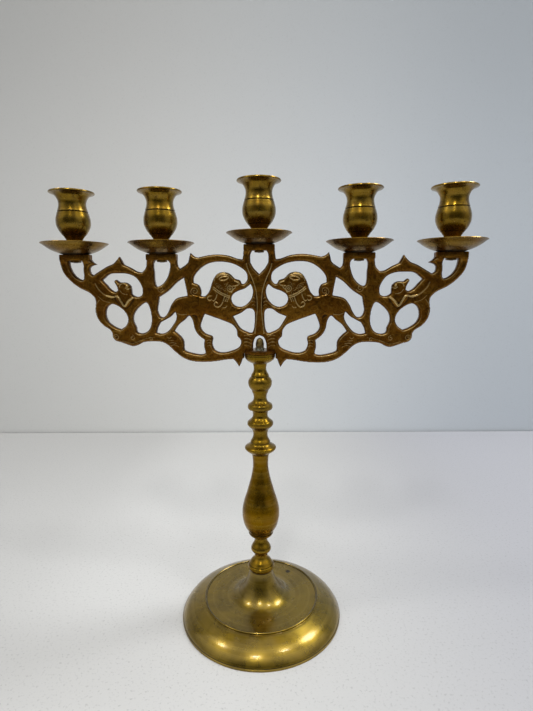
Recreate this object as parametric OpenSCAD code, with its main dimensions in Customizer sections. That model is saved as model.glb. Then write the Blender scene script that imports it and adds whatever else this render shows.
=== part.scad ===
// Five-light menorah: a turned brass foot and stem that carry a flat openwork casting with two lions.
// Millimetres, +Z up, +X to the right-hand lights, -Y towards the viewer.
// The origin is the centre of the base, on the surface that it stands on.

/* [Base and stem] */
// Radius of the base at its rolled edge
base_r = 78.5; // [77:0.5:80]
// Height of the seam between the base and the lower stem
lower_seam_z = 44.9; // [44.5:0.1:45.3]
// Height of the seam under the pear-shaped baluster
baluster_seam_z = 79.2; // [79:0.1:79.4]
// Height of the seam on top of the baluster
upper_seam_z = 165; // [164.5:0.1:165.5]
// Height of the collar that the arm panel stands on
collar_z = 262.5; // [262:0.1:263]
// Radius of that collar
collar_r = 14.3; // [14:0.1:14.4]

/* [Arm panel] */
// Thickness of the openwork casting, front to back
panel_t = 7; // [5:0.5:8]
// Radius of the round foot disc under the panel
foot_r = 14.8; // [14.6:0.1:15.5]
// Thickness of the foot disc
foot_t = 2.8; // [2.4:0.1:3]
// Distance from the middle to the inner lights
inner_light_x = 89.3; // [89:0.1:89.6]
// Distance from the middle to the outer lights
outer_light_x = 170; // [169.7:0.1:170.3]
// Height of the lugs that carry the four side lights
side_lug_z = 353.3; // [353:0.1:353.6]
// Height of the lug that carries the middle light
centre_lug_z = 361.3; // [361:0.1:361.6]
// Width of a lug
lug_w = 28; // [27:0.5:28.5]
// Depth of a lug, front to back
lug_d = 8.5; // [8:0.5:10]
// Thickness of a lug
lug_t = 5.5; // [5.5:0.1:5.8]
// Longest straight stretch allowed along a curved outline
curve_step = 2.5; // [1.5:0.5:4]

/* [Drip pans and candle sockets] */
// Radius of a drip pan at its rim
pan_r = 29.7; // [28:0.1:30]
// Height of a drip pan
pan_h = 10.4; // [10:0.1:10.8]
// Radius of the candle bore
candle_r = 10; // [9.5:0.1:10.2]
// Length of the straight candle bore
candle_bore_h = 20; // [18:0.5:22]
// Height of a socket's lip above its lug
socket_h = 55.5; // [55.2:0.1:56]

/* [Threads and fasteners] */
// Radius of the tie rod
rod_r = 3; // [2.5:0.1:3]
// Radius of a socket's stud
stud_r = 2.5; // [2:0.1:2.5]
// Radial gap between a rod or stud and what it runs through
running_gap = 0.05; // [0.02:0.01:0.08]
// Width across the flats of the base nut
base_nut_flats = 10; // [9:0.5:11]
// Thickness of the base nut
base_nut_t = 5; // [4:0.5:5.5]
// Radius of the plate washer inside the base
washer_r = 12; // [10:0.5:14]
// Thickness of the plate washer
washer_t = 1.6; // [1:0.1:2]
// Radius of the domed nut at the panel's foot
arm_nut_r = 4.2; // [4:0.1:4.6]
// Height of the domed nut
arm_nut_h = 11.5; // [11:0.1:12]
// Width across the flats of a socket's lock nut
lock_nut_flats = 8.5; // [8:0.1:9]
// Thickness of a lock nut
lock_nut_t = 1.6; // [1.4:0.1:2]

/* [Hidden] */
$fn = 96;

turned_brass = [0.55, 0.45, 0.18];
cast_brass = [0.36, 0.24, 0.10];
steel = [0.62, 0.62, 0.60];

// Wall of the hollow base, and the height of its flat ceiling inside
base_wall = 3;
disc_z = 17.6;
ceiling_z = disc_z - base_wall;
// Gap between the washer's hole and the rod
washer_gap = 0.3;
rod_bottom_z = ceiling_z - washer_t - base_nut_t - 2.5;
foot_top_z = collar_z + foot_t;
rod_top_z = foot_top_z + 8;

// Radius of a lug's corners, seen from above
lug_corner_r = 1;
// Wall of a turned drip pan
pan_wall = 1.2;
// Radius of a pan's flat floor outside, where it stands on the lug
pan_floor_r = 10.5;
// Depth that a stud goes up into its socket, and how far it reaches below the lock nut
stud_in_socket = 11;
stud_below_nut = 0.4;

// Places of the five lights: [distance from the middle, height of the lug]
lights = [
    [-outer_light_x, side_lug_z],
    [-inner_light_x, side_lug_z],
    [0, centre_lug_z],
    [inner_light_x, side_lug_z],
    [outer_light_x, side_lug_z],
];

// Points are [x, y]; a third value marks a corner, and every other point is passed in a smooth curve.
function is_corner(p) = len(p) > 2;
function xy(p) = [p[0], p[1]];
function chord(a, b) = norm(xy(b) - xy(a));
function heading(before, at, after) = (xy(after) - xy(before)) / (chord(before, at) + chord(at, after));
function leave(before, at, after) =
    is_corner(at) ? (xy(after) - xy(at)) / chord(at, after) : heading(before, at, after);
function arrive(before, at, after) =
    is_corner(at) ? (xy(at) - xy(before)) / chord(before, at) : heading(before, at, after);
function blend(a, b, u, v, t) =
    (2 * t * t * t - 3 * t * t + 1) * a + (t * t * t - 2 * t * t + t) * u
    + (3 * t * t - 2 * t * t * t) * b + (t * t * t - t * t) * v;
// One stretch from b to c, with its neighbours a and d giving the directions; c itself is left out.
function stretch(a, b, c, d, step) =
    let (
        l = chord(b, c),
        straight = is_corner(b) && is_corner(c),
        n = straight ? 1 : max(2, ceil(l / step))
    )
    [for (i = [0:n - 1]) blend(xy(b), xy(c), leave(a, b, c) * l, arrive(b, c, d) * l, i / n)];
// A closed outline, or an open curve that starts and ends at corners.
function closed(p, step) =
    let (n = len(p))
    [for (i = [0:n - 1]) each stretch(p[(i + n - 1) % n], p[i], p[(i + 1) % n], p[(i + 2) % n], step)];
function open(p, step) =
    let (n = len(p))
    [
        for (i = [0:n - 2])
            each stretch(p[max(i - 1, 0)], p[i], p[i + 1], p[min(i + 2, n - 1)], step),
        xy(p[n - 1])
    ];
function mirrored(p) = [for (i = [len(p) - 1:-1:0]) [-p[i][0], p[i][1]]];

// ---- Turned profiles: [radius, height], from the bottom up ----

// Longest straight stretch along a turned profile
turn_step = 1.2;

base_outside = [
    [base_r, 0, 1], [base_r, 1.6, 1], [base_r - 0.6, 2.2, 1], [76.8, 4.4], [74.3, 7.4], [70.7, 10.4],
    [66.6, 12.8], [62, 14.8], [58.5, 16.2], [56.4, 16.8, 1], [56.4, 18.2, 1], [55.6, 18.7], [54.8, 18.2, 1],
    [54.4, disc_z, 1], [34, disc_z, 1], [29.5, 18.2], [25.3, 20], [21.5, 23], [18.2, 27.2], [15.4, 32.2],
    [13.3, 37.2], [12, 41.4], [11.2, lower_seam_z, 1],
];
base_inside = [
    [base_r - base_wall, 0, 1], [base_r - base_wall, 1.6, 1], [72.5, 4.4], [68.5, 7.6], [64, 10.2],
    [59, 12.6], [54, ceiling_z, 1],
];
stem_lower_outside = [
    [11.2, lower_seam_z, 1], [11.6, 45.6, 1], [11.6, 46.2, 1], [12.5, 46.6], [13, 47.6], [13, 48.8],
    [12.6, 50.1, 1], [12, 50.7, 1], [11.8, 51.4, 1], [11, 52.5], [9.9, 54.2], [8.6, 55.7], [7.4, 57.1],
    [6.6, 58.6], [6.3, 60], [6.5, 61.4], [7.2, 62.9], [8.5, 64.3], [9.5, 65.5], [9.9, 66.7], [9.8, 67.8],
    [9.5, 68.8, 1], [9.1, 69.6, 1], [8.6, 70.8], [7.6, 72.4], [6.8, 74], [6.3, 75.6], [6.1, 77.2],
    [6.3, baluster_seam_z, 1],
];
baluster_outside = [
    [7.2, baluster_seam_z, 1], [8.6, 80.4], [10.4, 81.6], [11.7, 83], [12.2, 84.4, 1], [11.9, 85.3, 1],
    [13.1, 87.4], [14.7, 90], [16.2, 93.2], [17.2, 96.8], [17.9, 100.8], [18.1, 104.8], [17.9, 109.4],
    [17.1, 113.6], [16.1, 117.8], [14.7, 122], [13.3, 126.4], [12.1, 130.6], [10.9, 134.8],
    [9.8, 138.8], [8.9, 142.8], [8.1, 146.8], [7.5, 151], [7.3, 155], [7.5, 159], [7.8, 162.4],
    [8.3, upper_seam_z, 1],
];
stem_upper_outside = [
    [8.3, upper_seam_z, 1], [9.6, 166], [11.6, 167.3], [13.5, 168.7], [14.8, 170.3], [15, 171.2],
    [14.7, 172.1], [13.2, 173.2], [11.2, 174.2], [9.9, 175.2], [9.4, 176.2, 1], [9.4, 177.4, 1],
    [8.8, 178.6], [8, 179.8], [7.3, 181.4], [6.9, 183.4], [6.9, 185.6], [7.3, 187.4], [7.9, 189],
    [9, 190.5], [10.8, 192, 1], [11.6, 192.9, 1], [12.3, 194.2], [12.3, 195.6], [11.8, 197], [10.2, 198.3],
    [8.6, 199.7], [7.5, 201.2], [7, 203], [7.1, 204.8], [7.4, 206.6], [8.3, 208, 1], [10.6, 208.8, 1],
    [11.5, 209.6], [11.8, 211], [11.6, 212.6], [10.9, 213.9], [8.9, 215.2], [7.3, 216.6], [6.5, 218.2],
    [6.1, 220], [6.2, 221.8], [6.7, 223.8], [7.5, 225.6], [8, 227.4, 1], [8.7, 228.3, 1], [9.9, 229.9],
    [10.8, 231.8], [11.2, 234], [11.1, 235.8], [10.6, 237.4], [9.8, 238.8], [8.5, 240.2, 1],
    [8.2, 241.8, 1], [7.6, 243.1], [6.6, 244.7], [6, 246.6], [5.9, 248.8], [6.2, 251], [6.6, 252.8, 1],
    [7.4, 253.2, 1], [9.6, 254.2], [12, 255.8], [13.7, 257.8], [collar_r, 260.2, 1],
    [collar_r, collar_z - 0.6, 1], [collar_r - 0.6, collar_z, 1],
];

// Socket and pan profiles count their height from the top of the lug.
socket_foot_z = pan_wall;
socket_outside = [
    [8.6, socket_foot_z, 1], [8.4, 2.6], [7.2, 6.4], [6.6, 10.4], [7, 13], [8.9, 16], [9.8, 17.1, 1],
    [10.3, 17.6, 1], [12.1, 20], [13.7, 23], [14.7, 25.8], [15, 28.8], [14.8, 32], [14, 35.2],
    [13.5, 37.1, 1], [12.7, 37.7, 1], [13.2, 38.3, 1], [12.6, 40], [12.1, 42], [11.8, 44.6], [12, 46.8],
    [12.8, 49], [14.4, 51.6], [16.6, 53.2], [19.2, 54.1, 1], [19.8, 54.7], [19.4, socket_h, 1],
];
// Depth of the flared mouth above the straight candle bore, and the height of the bore's flat bottom
mouth_depth = 8.5;
bore_bottom_z = socket_h - mouth_depth - candle_bore_h;
socket_mouth = [
    [candle_r, socket_h - mouth_depth, 1], [10.8, 49.2], [12.8, 51.8], [15.8, 54], [18.7, socket_h, 1],
];
pan_outside = [
    [pan_floor_r, 0, 1], [15.6, 1.8], [20.4, 3.8], [24.6, 6.4], [28, 8.9], [pan_r, pan_h - 0.5, 1],
];
pan_inside = [
    [pan_r - 0.4, pan_h, 1], [27.4, 9.5], [24, 7.3], [19.8, 4.9], [15.2, 2.9], [pan_floor_r, pan_wall, 1],
];

// ---- Outlines of the arm panel: [across, up], on the right-hand side of the middle ----

// Outer edge from the middle lug round to the foot
panel_edge = [
    [13.8, 361.3, 1], [14.2, 354], [15, 348, 1], [20, 348.8], [27, 351.3], [36, 352.5], [45, 352],
    [55.5, 350, 1], [59, 351], [62.4, 354, 1], [63.5, 350.5], [65, 345.3], [68.5, 342.5], [72.5, 340, 1],
    [74.5, 342], [75.3, 346.5, 1], [75.3, 353.3, 1], [103.3, 353.3, 1], [103, 347], [104, 341],
    [107.5, 337, 1], [112, 337.6], [118, 341], [124.5, 344, 1], [126.5, 347.5], [128.5, 351, 1],
    [130.5, 348.5], [134, 345], [140, 342.5], [147, 338.5], [153.5, 334.5, 1], [156.5, 336.5],
    [157, 341], [154.5, 343.3], [150.2, 344.4, 1], [153.5, 346.3], [155.6, 349, 1], [156, 353.3, 1],
    [184, 353.3, 1], [184, 346], [181.5, 337], [175.5, 329.5], [167.5, 323.3], [158, 318.4],
    [153.2, 313.5], [152.6, 308.5], [153.4, 302], [151.5, 294.5], [147, 288.6], [140.5, 284.2],
    [138.4, 281, 1], [138.4, 277.5], [135.5, 273.8], [131, 272.6], [125, 270.4], [119, 268.7],
    [114.5, 269.8], [109.5, 272.4], [100, 273.4], [91, 272.6], [85, 269.2], [79, 263.4], [72, 258],
    [64, 255], [54, 254], [42, 254.7], [32, 256.3], [25, 257, 1], [22, 254], [19.3, 249.6, 1],
    [17.8, 252.5], [16.2, 257, 1], [14.6, 258, 1], [14.6, 262.5, 1],
];

// Openings, each once; all but the middle ones have a mirror image on the left
outer_loop = [
    [162.2, 345], [163.6, 347.8, 1], [176.2, 347.8, 1], [175.6, 342.5], [173, 336.5], [168.5, 332],
    [163.5, 330.2], [162.2, 333], [162.3, 339],
];
squirrel_arch = [
    [107.8, 321], [109.5, 326.5], [114, 332.5], [121, 335.6], [130, 336.3], [138.5, 335.6],
    [145.8, 330, 1], [142, 326], [138.5, 322], [134, 319.2], [131, 320.8], [132.4, 325.4],
    [134.2, 328.6], [132.4, 330.4], [129.4, 328], [123.5, 327.8], [119.4, 325], [118.8, 321, 1],
    [118.4, 317.2], [113.5, 314.7], [109, 315.9],
];
outer_egg = [
    [137.5, 308.2], [130.5, 305.5], [124.5, 299.6], [122.6, 293.6], [125, 288], [130, 284.4, 1],
    [135.5, 286.5], [142, 291.6], [144.4, 298.2], [142.4, 305.2],
];
inner_egg = [
    [105.5, 309.6], [111.5, 306], [117, 299.6], [118.4, 293.2], [115.8, 286.4, 1], [115, 282],
    [110, 280.7], [104, 283.4], [100.8, 290], [100.8, 299.6], [103, 307.4],
];
inner_loop = [
    [81.3, 343.5], [82.3, 346.6], [84.2, 347.8, 1], [95.6, 347.8, 1], [97.2, 344.6], [96.6, 336],
    [96.2, 327], [94.5, 324], [89.5, 325.8], [84.6, 331.6], [82.2, 338],
];
haunch_gap = [
    [69.2, 332.2, 1], [76, 327.8], [84, 320.2], [93, 314.4, 1], [93.9, 309], [95, 302], [92.6, 296.5],
    [88.6, 296], [84.6, 300.8], [81.4, 307.6], [76.4, 313.2], [66.2, 315.7, 1], [67.4, 323],
];
tail_slit = [
    [78, 300.6], [82.5, 296.6], [88, 293.4], [92.6, 291, 1], [95.4, 286], [96.6, 281.4, 1],
    [91.5, 280.4], [85.6, 282.8], [81, 288], [77.2, 294.6],
];
lion_arch = [
    [13.6, 326.4], [10.8, 330.6], [12, 336.6], [17.5, 341.2], [25.5, 344.8], [35, 346.2], [45, 345.2],
    [54, 340.2], [60, 333], [60.8, 327.4, 1], [55.8, 325.2], [53.8, 320.5], [54, 315.4, 1], [50, 315.2],
    [46, 319.5], [42.8, 328.5], [38.8, 334.9], [33, 336.9], [27, 335.4], [22.5, 331], [17.6, 329.4],
    [16.2, 326.3],
];
muzzle_gap = [
    [8.2, 326, 1], [13, 322.2], [20, 319.6], [24.8, 316.3], [26, 312], [23.6, 307.3], [18, 305.3],
    [12.4, 307.2], [7.8, 312.2], [6, 318], [6.4, 322.6],
];
paw_gap = [
    [4.6, 300.8], [7, 303.6], [11.4, 303.6], [17, 299.8], [24.6, 296.6, 1], [21.6, 291.6], [17.5, 285.6],
    [12, 282.6], [7.2, 281.4], [5, 287],
];
chest_gap = [
    [21.2, 284.3, 1], [25, 289], [34, 293], [44, 296.6], [50.8, 299, 1], [53, 294.5], [55, 287],
    [51.5, 281.4], [44.4, 278.4, 1], [43.6, 276], [44.4, 271], [41.8, 265], [35, 262.9], [26, 264.7],
    [19, 268.4], [17.2, 274], [20.6, 278.4, 1],
];
leg_gap = [
    [65.2, 297.3], [69.5, 293.5], [75.5, 289], [79.6, 283, 1], [75.5, 279.5], [71.6, 274.6],
    [70.9, 269.4], [70.6, 265], [63, 262.2], [55, 261], [50.7, 262.4], [51.9, 268.5], [51.4, 275, 1],
    [57, 279.4], [60.4, 285.4], [62, 293],
];
// Right half of the loop under the middle lug, from the top down
middle_loop = [
    [0, 355.8, 1], [6.5, 355.8, 1], [8.2, 352.4], [8.2, 345.4, 1], [5, 340], [0, 335, 1],
];
// Right half of the small arch round the domed nut, from the top down
foot_arch = [
    [0, 279.2], [3.6, 277.6], [5.8, 273], [6.3, 268], [6.3, foot_top_z, 1],
];

side_openings = [
    outer_loop, squirrel_arch, outer_egg, inner_egg, inner_loop, haunch_gap, tail_slit, lion_arch,
    muzzle_gap, paw_gap, chest_gap, leg_gap,
];

// ---- Shapes ----

module turned(profile) {
    rotate_extrude()
        polygon(profile);
}

// A solid turned from the axis out to one profile
module turned_solid(outside) {
    turned(concat([[0, outside[0][1]]], open(outside, turn_step), [[0, outside[len(outside) - 1][1]]]));
}

module hole(r, z0, z1) {
    translate([0, 0, z0])
        cylinder(r = r, h = z1 - z0);
}

module hex_prism(flats, t) {
    cylinder(r = flats / (2 * cos(30)), h = t, $fn = 6);
}

module base() {
    color(turned_brass)
        difference() {
            turned_solid(base_outside);
            turned_solid(base_inside);
            hole(rod_r + running_gap, ceiling_z - 1, lower_seam_z + 1);
        }
}

module base_washer() {
    color(steel)
        translate([0, 0, ceiling_z - washer_t])
            difference() {
                cylinder(r = washer_r, h = washer_t);
                hole(rod_r + washer_gap, -1, washer_t + 1);
            }
}

module base_nut() {
    color(steel)
        translate([0, 0, ceiling_z - washer_t - base_nut_t])
            difference() {
                hex_prism(base_nut_flats, base_nut_t);
                hole(rod_r + running_gap, -1, base_nut_t + 1);
            }
}

module tie_rod() {
    color(steel)
        hole(rod_r, rod_bottom_z, rod_top_z);
}

module stem_section(outside, z0, z1) {
    color(turned_brass)
        difference() {
            turned_solid(outside);
            hole(rod_r + running_gap, z0 - 1, z1 + 1);
        }
}

module stem_lower() {
    stem_section(stem_lower_outside, lower_seam_z, baluster_seam_z);
}

module stem_baluster() {
    stem_section(baluster_outside, baluster_seam_z, upper_seam_z);
}

module stem_upper() {
    stem_section(stem_upper_outside, upper_seam_z, collar_z);
}

// Domed nut: a round skirt under a bead and a pointed cap
module arm_nut() {
    cap = [
        [arm_nut_r, 0, 1], [arm_nut_r, 2.2, 1], [arm_nut_r - 0.6, 2.6, 1], [3.8, 4.6], [3.6, 7], [2.8, 9.6],
        [1.4, 11], [0, arm_nut_h, 1],
    ];
    color(cast_brass)
        translate([0, 0, foot_top_z])
            difference() {
                turned(concat([[0, 0]], open(cap, turn_step)));
                hole(rod_r + running_gap, -1, rod_top_z - foot_top_z + running_gap);
            }
}

module on_both_sides() {
    children();
    mirror([1, 0])
        children();
}

module panel_outline() {
    right = open(panel_edge, curve_step);
    difference() {
        polygon(concat(right, mirrored(right)));
        on_both_sides()
            for (opening = side_openings)
                polygon(closed(opening, curve_step));
        for (half = [middle_loop, foot_arch]) {
            edge = open(half, curve_step);
            polygon(concat(edge, mirrored(edge)));
        }
    }
}

module lug() {
    inner_w = lug_w - 2 * lug_corner_r;
    inner_d = lug_d - 2 * lug_corner_r;
    translate([0, 0, -lug_t])
        linear_extrude(lug_t) {
            square([lug_w, inner_d], center = true);
            square([inner_w, lug_d], center = true);
            for (x = [-1, 1], y = [-1, 1])
                translate([x * inner_w / 2, y * inner_d / 2])
                    circle(r = lug_corner_r);
        }
}

module arm_panel() {
    color(cast_brass)
        difference() {
            union() {
                rotate([90, 0, 0])
                    linear_extrude(panel_t, center = true)
                        panel_outline();
                hole(foot_r, collar_z, foot_top_z);
                for (light = lights)
                    translate([light[0], 0, light[1]])
                        lug();
            }
            hole(rod_r + running_gap, collar_z - 1, foot_top_z + 1);
            for (light = lights)
                translate([light[0], 0, 0])
                    hole(stud_r + running_gap, light[1] - lug_t - 1, light[1] + 1);
        }
}

// ---- One light, each piece at the place given as [distance from the middle, height of the lug] ----

module at_light(light) {
    translate([light[0], 0, light[1]])
        children();
}

module drip_pan(light) {
    dish = concat([[0, 0]], open(pan_outside, turn_step), open(pan_inside, turn_step), [[0, pan_wall]]);
    color(turned_brass)
        at_light(light)
            difference() {
                turned(dish);
                hole(stud_r + running_gap, -1, pan_wall + 1);
            }
}

module candle_socket(light) {
    color(turned_brass)
        at_light(light)
            difference() {
                turned_solid(socket_outside);
                hole(candle_r, bore_bottom_z, socket_h - mouth_depth);
                turned_solid(socket_mouth);
                hole(stud_r + running_gap, socket_foot_z - 1, socket_foot_z + stud_in_socket);
            }
}

module socket_stud(light) {
    color(steel)
        at_light(light)
            hole(stud_r, -lug_t - lock_nut_t - stud_below_nut, socket_foot_z + stud_in_socket);
}

module lock_nut(light) {
    color(steel)
        at_light(light)
            translate([0, 0, -lug_t - lock_nut_t])
                difference() {
                    hex_prism(lock_nut_flats, lock_nut_t);
                    hole(stud_r + running_gap, -1, lock_nut_t + 1);
                }
}

base();
base_washer();
base_nut();
tie_rod();
stem_lower();
stem_baluster();
stem_upper();
arm_nut();
arm_panel();

drip_pan(lights[0]);  // drip_pan_left_outer
drip_pan(lights[1]);  // drip_pan_left_inner
drip_pan(lights[2]);  // drip_pan_centre
drip_pan(lights[3]);  // drip_pan_right_inner
drip_pan(lights[4]);  // drip_pan_right_outer

candle_socket(lights[0]);  // candle_socket_left_outer
candle_socket(lights[1]);  // candle_socket_left_inner
candle_socket(lights[2]);  // candle_socket_centre
candle_socket(lights[3]);  // candle_socket_right_inner
candle_socket(lights[4]);  // candle_socket_right_outer

socket_stud(lights[0]);  // socket_stud_left_outer
socket_stud(lights[1]);  // socket_stud_left_inner
socket_stud(lights[2]);  // socket_stud_centre
socket_stud(lights[3]);  // socket_stud_right_inner
socket_stud(lights[4]);  // socket_stud_right_outer

lock_nut(lights[0]);  // lock_nut_left_outer
lock_nut(lights[1]);  // lock_nut_left_inner
lock_nut(lights[2]);  // lock_nut_centre
lock_nut(lights[3]);  // lock_nut_right_inner
lock_nut(lights[4]);  // lock_nut_right_outer
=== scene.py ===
"""Looks of a five-light menorah: aged turned brass round a dark cast panel with lions and squirrels.

Every object is in metres, in the frame of the CAD model. The panel's relief is drawn in millimetres,
[across, up], on the right-hand side of the middle, and mirrored to the left and to the back.
"""
import math

import bpy
import numpy as np
from mathutils import Matrix, Vector


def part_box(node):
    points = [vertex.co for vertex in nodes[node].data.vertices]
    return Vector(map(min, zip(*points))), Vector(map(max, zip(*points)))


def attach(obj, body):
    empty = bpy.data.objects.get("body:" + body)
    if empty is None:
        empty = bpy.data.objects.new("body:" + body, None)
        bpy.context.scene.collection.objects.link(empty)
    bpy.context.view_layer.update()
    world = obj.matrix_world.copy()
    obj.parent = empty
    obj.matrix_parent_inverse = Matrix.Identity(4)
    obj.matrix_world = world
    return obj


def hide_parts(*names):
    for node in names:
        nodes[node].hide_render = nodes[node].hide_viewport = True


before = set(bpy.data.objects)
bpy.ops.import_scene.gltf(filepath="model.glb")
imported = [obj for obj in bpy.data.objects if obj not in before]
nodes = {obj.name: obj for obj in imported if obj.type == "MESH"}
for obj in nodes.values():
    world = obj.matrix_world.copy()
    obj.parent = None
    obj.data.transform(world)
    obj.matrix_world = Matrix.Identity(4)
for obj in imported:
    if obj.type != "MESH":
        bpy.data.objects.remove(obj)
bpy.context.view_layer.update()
MM = 0.001
SIDES = ["left_outer", "left_inner", "centre", "right_inner", "right_outer"]


def middle(node):
    low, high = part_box(node)
    return (low + high) / 2


# ---------------------------------------------------------------- node graphs

MIX_A, MIX_B, MIX_RESULT = 6, 7, 2  # the colour sockets of a Mix node


class Graph:
    """A material's node tree, with short calls for the nodes that the brasses share."""

    def __init__(self, name):
        self.material = bpy.data.materials.new(name)
        self.material.use_nodes = True
        self.tree = self.material.node_tree
        self.tree.nodes.clear()
        self.shader = self.node("ShaderNodeBsdfPrincipled")
        output = self.node("ShaderNodeOutputMaterial")
        self.link(self.shader.outputs[0], output.inputs[0])
        self.place = self.node("ShaderNodeTexCoord").outputs["Object"]

    def node(self, kind, **settings):
        made = self.tree.nodes.new(kind)
        for key, value in settings.items():
            setattr(made, key, value)
        return made

    def link(self, source, target):
        self.tree.links.new(source, target)

    def feed(self, socket, value):
        if isinstance(value, bpy.types.NodeSocket):
            self.link(value, socket)
        else:
            socket.default_value = value

    def surface(self, values):
        """Sets or links the shader's sockets by name."""
        for key, value in values.items():
            self.feed(self.shader.inputs[key], value)
        return self.material

    def math(self, operation, *values):
        made = self.node("ShaderNodeMath", operation=operation)
        for socket, value in zip(made.inputs, values):
            self.feed(socket, value)
        return made.outputs[0]

    def plus(self, a, b):
        return self.math("ADD", a, b)

    def minus(self, a, b):
        return self.math("SUBTRACT", a, b)

    def times(self, a, b):
        return self.math("MULTIPLY", a, b)

    def span(self, value, low, high, to_low=0.0, to_high=1.0):
        """value from low to high, mapped smoothly to to_low .. to_high."""
        made = self.node("ShaderNodeMapRange", interpolation_type="SMOOTHSTEP")
        for socket, number in zip(made.inputs, (value, low, high, to_low, to_high)):
            self.feed(socket, number)
        return made.outputs[0]

    def noise(self, scale, detail, roughness, place=None, distortion=0.0):
        """Noise with about scale lumps to the metre, over the object or over another place."""
        made = self.node("ShaderNodeTexNoise")
        self.link(place or self.place, made.inputs["Vector"])
        settings = {"Scale": scale, "Detail": detail, "Roughness": roughness, "Distortion": distortion}
        for key, value in settings.items():
            made.inputs[key].default_value = value
        return made.outputs["Fac"]

    def mix(self, factor, a, b):
        """Colour a where factor is 0 and b where it is 1."""
        made = self.node("ShaderNodeMix", data_type="RGBA")
        self.feed(made.inputs["Factor"], factor)
        for socket, colour in ((made.inputs[MIX_A], a), (made.inputs[MIX_B], b)):
            self.feed(socket, colour if isinstance(colour, bpy.types.NodeSocket) else (*colour, 1.0))
        return made.outputs[MIX_RESULT]

    def bump(self, height, distance, strength, below=None):
        """A normal bent by height, distance metres deep, over the normal below."""
        made = self.node("ShaderNodeBump")
        made.inputs["Strength"].default_value = strength
        made.inputs["Distance"].default_value = distance
        self.link(height, made.inputs["Height"])
        if below is not None:
            self.link(below, made.inputs["Normal"])
        return made.outputs[0]

    def axis_distance(self, x, y, to_x, to_y):
        """Distance from the upright line at (to_x, to_y)."""
        dx = self.minus(x, to_x)
        dy = self.minus(y, to_y)
        return self.math("SQRT", self.plus(self.times(dx, dx), self.times(dy, dy)))

    def axes(self):
        parts = self.node("ShaderNodeSeparateXYZ")
        self.link(self.place, parts.inputs[0])
        return parts.outputs


# Colours are linear.
OLIVE = (0.215, 0.140, 0.010)
HONEY = (0.225, 0.130, 0.008)
AMBER = (0.205, 0.106, 0.002)
GOLD = (0.480, 0.340, 0.080)
COPPER = (0.270, 0.115, 0.020)
RUSSET = (0.170, 0.090, 0.007)
BROWN = (0.075, 0.038, 0.006)
# Black of dirt, and of painted shade along the panel's outline
SOOT_AND_SHADE = (0.016, 0.010, 0.005)
VERDIGRIS = (0.42, 0.50, 0.44)
CAST_DARK = (0.160, 0.060, 0.003)
CAST_LIGHT = (0.225, 0.102, 0.009)
CAST_RED = (0.205, 0.070, 0.006)
CAST_BLACK = (0.055, 0.023, 0.003)
CAST_YELLOW = (0.380, 0.230, 0.050)
# Golden of rubbing, and of a painted highlight on the panel's edges that face up
CAST_RUBBED_AND_HIGHLIGHT = (0.600, 0.440, 0.180)
NUT_DARK = (0.10, 0.06, 0.018)
NUT_LIGHT = (0.34, 0.25, 0.09)
STEEL_DARK = (0.20, 0.19, 0.17)
STEEL_LIGHT = (0.34, 0.33, 0.31)
RUST = (0.10, 0.045, 0.018)

TONE_DARKER, TONE_LIGHTER = 0.82, 1.22
NOISE_SHIFT = 0.07  # moves the turning rings' noise on from one socket to the next
LACQUER_ROUGHNESS = 0.14
TURNING_STRETCH, TURNING_ROTATION = 0.45, 0.25


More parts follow.
